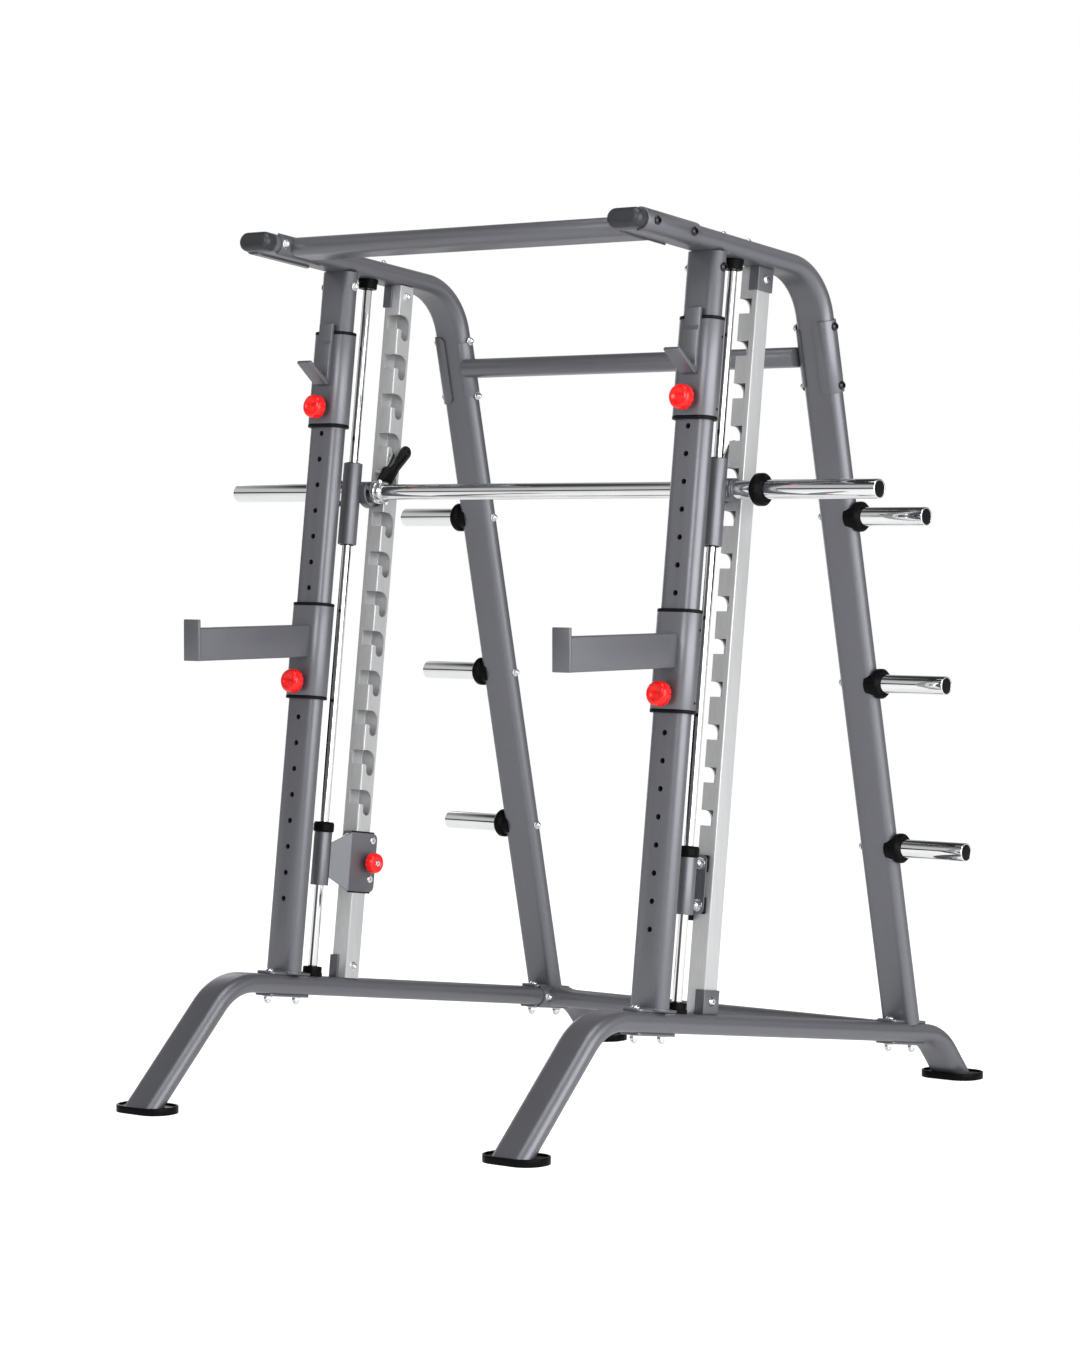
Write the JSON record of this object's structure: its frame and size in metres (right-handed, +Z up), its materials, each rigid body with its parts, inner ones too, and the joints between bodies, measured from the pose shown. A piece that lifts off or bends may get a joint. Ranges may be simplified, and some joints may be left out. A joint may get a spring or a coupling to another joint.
{
  "type": "smith machine",
  "caption": "Smith machine: leaning flat-oval tube frame, guided barbell with latch rails, adjustable bar hooks, safety arms and stops, plate storage horns",
  "frame": {"origin": "on the floor, in the middle of the footprint", "axes": "+Z up, +X the machine's right seen from the front, -Y the front where the bar hooks and safety arms stand"},
  "size_m": [2.2496, 2.034, 2.363],
  "materials": {
    "frame_paint": "satin metallic grey powder coat",
    "chrome": "polished",
    "rail_silver": "satin silver",
    "black_rubber": "matt",
    "cap_plastic": "satin",
    "lever_black": "satin black",
    "red_knob": "gloss"
  },
  "bodies": {
    "frame": {"base_tube_left": "frame_paint", "top_tube_left": "frame_paint", "upright_left": "frame_paint", "rail_bracket_top_left": "frame_paint", "rail_bracket_bottom_left": "frame_paint", "foot_pad_front_left": "black_rubber", "foot_pad_rear_left": "black_rubber", "rod_collar_top_left": "black_rubber", "rod_collar_bottom_left": "black_rubber", "horn_ring_upper_left": "black_rubber", "horn_ring_middle_left": "black_rubber", "horn_ring_lower_left": "black_rubber", "plate_horn_upper_left": "chrome", "plate_horn_middle_left": "chrome", "plate_horn_lower_left": "chrome", "guide_rod_left": "chrome", "latch_rail_left": "rail_silver", "top_cap_left": "cap_plastic", "base_tube_right": "frame_paint", "top_tube_right": "frame_paint", "upright_right": "frame_paint", "rail_bracket_top_right": "frame_paint", "rail_bracket_bottom_right": "frame_paint", "foot_pad_front_right": "black_rubber", "foot_pad_rear_right": "black_rubber", "rod_collar_top_right": "black_rubber", "rod_collar_bottom_right": "black_rubber", "horn_ring_upper_right": "black_rubber", "horn_ring_middle_right": "black_rubber", "horn_ring_lower_right": "black_rubber", "plate_horn_upper_right": "chrome", "plate_horn_middle_right": "chrome", "plate_horn_lower_right": "chrome", "guide_rod_right": "chrome", "latch_rail_right": "rail_silver", "top_cap_right": "cap_plastic", "front_crossbar": "frame_paint", "rear_crossbar": "frame_paint", "lower_crossbar": "frame_paint"},
    "carriages": {"carriage_left": "frame_paint", "carriage_right": "frame_paint"},
    "barbell": {"bar": "chrome", "bar_ring_left": "black_rubber", "bar_ring_right": "black_rubber", "latch_hook_left": "lever_black", "latch_hook_right": "lever_black"},
    "hook_collar_left": {"hook_collar_left": "frame_paint"},
    "hook_knob_left": {"hook_knob_left": "red_knob"},
    "arm_collar_left": {"arm_collar_left": "frame_paint"},
    "arm_knob_left": {"arm_knob_left": "red_knob"},
    "stop_left": {"stop_left": "frame_paint", "stop_bumper_left": "black_rubber"},
    "stop_knob_left": {"stop_knob_left": "red_knob"},
    "hook_collar_right": {"hook_collar_right": "frame_paint"},
    "hook_knob_right": {"hook_knob_right": "red_knob"},
    "arm_collar_right": {"arm_collar_right": "frame_paint"},
    "arm_knob_right": {"arm_knob_right": "red_knob"},
    "stop_right": {"stop_right": "frame_paint", "stop_bumper_right": "black_rubber"},
    "stop_knob_right": {"stop_knob_right": "red_knob"}
  },
  "joints": [
    {"name": "carriage_slide", "type": "slide", "parent": "frame", "child": "carriages", "axis": [0, 0.1219, 0.9925], "range_m": [-0.77, 0.48]},
    {"name": "bar_turn", "type": "hinge", "parent": "carriages", "child": "barbell", "pos_m": [0, -0.10519, 1.65518], "axis": [-1, 0, 0], "range_deg": [-30, 60]},
    {"name": "hook_collar_slide_left", "type": "slide", "parent": "frame", "child": "hook_collar_left", "axis": [0, 0.1219, 0.9925], "range_m": [-0.432, 0.072]},
    {"name": "hook_knob_pull_left", "type": "slide", "parent": "hook_collar_left", "child": "hook_knob_left", "axis": [0, -0.9925, 0.1219], "range_m": [0, 0.012], "stiffness_N_per_m": 600, "springref_m": -0.01},
    {"name": "arm_collar_slide_left", "type": "slide", "parent": "frame", "child": "arm_collar_left", "axis": [0, 0.1219, 0.9925], "range_m": [-0.72, 0.432]},
    {"name": "arm_knob_pull_left", "type": "slide", "parent": "arm_collar_left", "child": "arm_knob_left", "axis": [0, -0.9925, 0.1219], "range_m": [0, 0.012], "stiffness_N_per_m": 600, "springref_m": -0.01},
    {"name": "stop_slide_left", "type": "slide", "parent": "frame", "child": "stop_left", "axis": [0, 0.1219, 0.9925], "range_m": [-0.112, 0.673]},
    {"name": "stop_knob_pull_left", "type": "slide", "parent": "stop_left", "child": "stop_knob_left", "axis": [1, 0, 0], "range_m": [0, 0.012], "stiffness_N_per_m": 600, "springref_m": -0.01},
    {"name": "hook_collar_slide_right", "type": "slide", "parent": "frame", "child": "hook_collar_right", "axis": [0, 0.1219, 0.9925], "range_m": [-0.432, 0.072]},
    {"name": "hook_knob_pull_right", "type": "slide", "parent": "hook_collar_right", "child": "hook_knob_right", "axis": [0, -0.9925, 0.1219], "range_m": [0, 0.012], "stiffness_N_per_m": 600, "springref_m": -0.01},
    {"name": "arm_collar_slide_right", "type": "slide", "parent": "frame", "child": "arm_collar_right", "axis": [0, 0.1219, 0.9925], "range_m": [-0.72, 0.432]},
    {"name": "arm_knob_pull_right", "type": "slide", "parent": "arm_collar_right", "child": "arm_knob_right", "axis": [0, -0.9925, 0.1219], "range_m": [0, 0.012], "stiffness_N_per_m": 600, "springref_m": -0.01},
    {"name": "stop_slide_right", "type": "slide", "parent": "frame", "child": "stop_right", "axis": [0, 0.1219, 0.9925], "range_m": [-0.112, 0.673]},
    {"name": "stop_knob_pull_right", "type": "slide", "parent": "stop_right", "child": "stop_knob_right", "axis": [-1, 0, 0], "range_m": [0, 0.012], "stiffness_N_per_m": 600, "springref_m": -0.01}
  ]
}
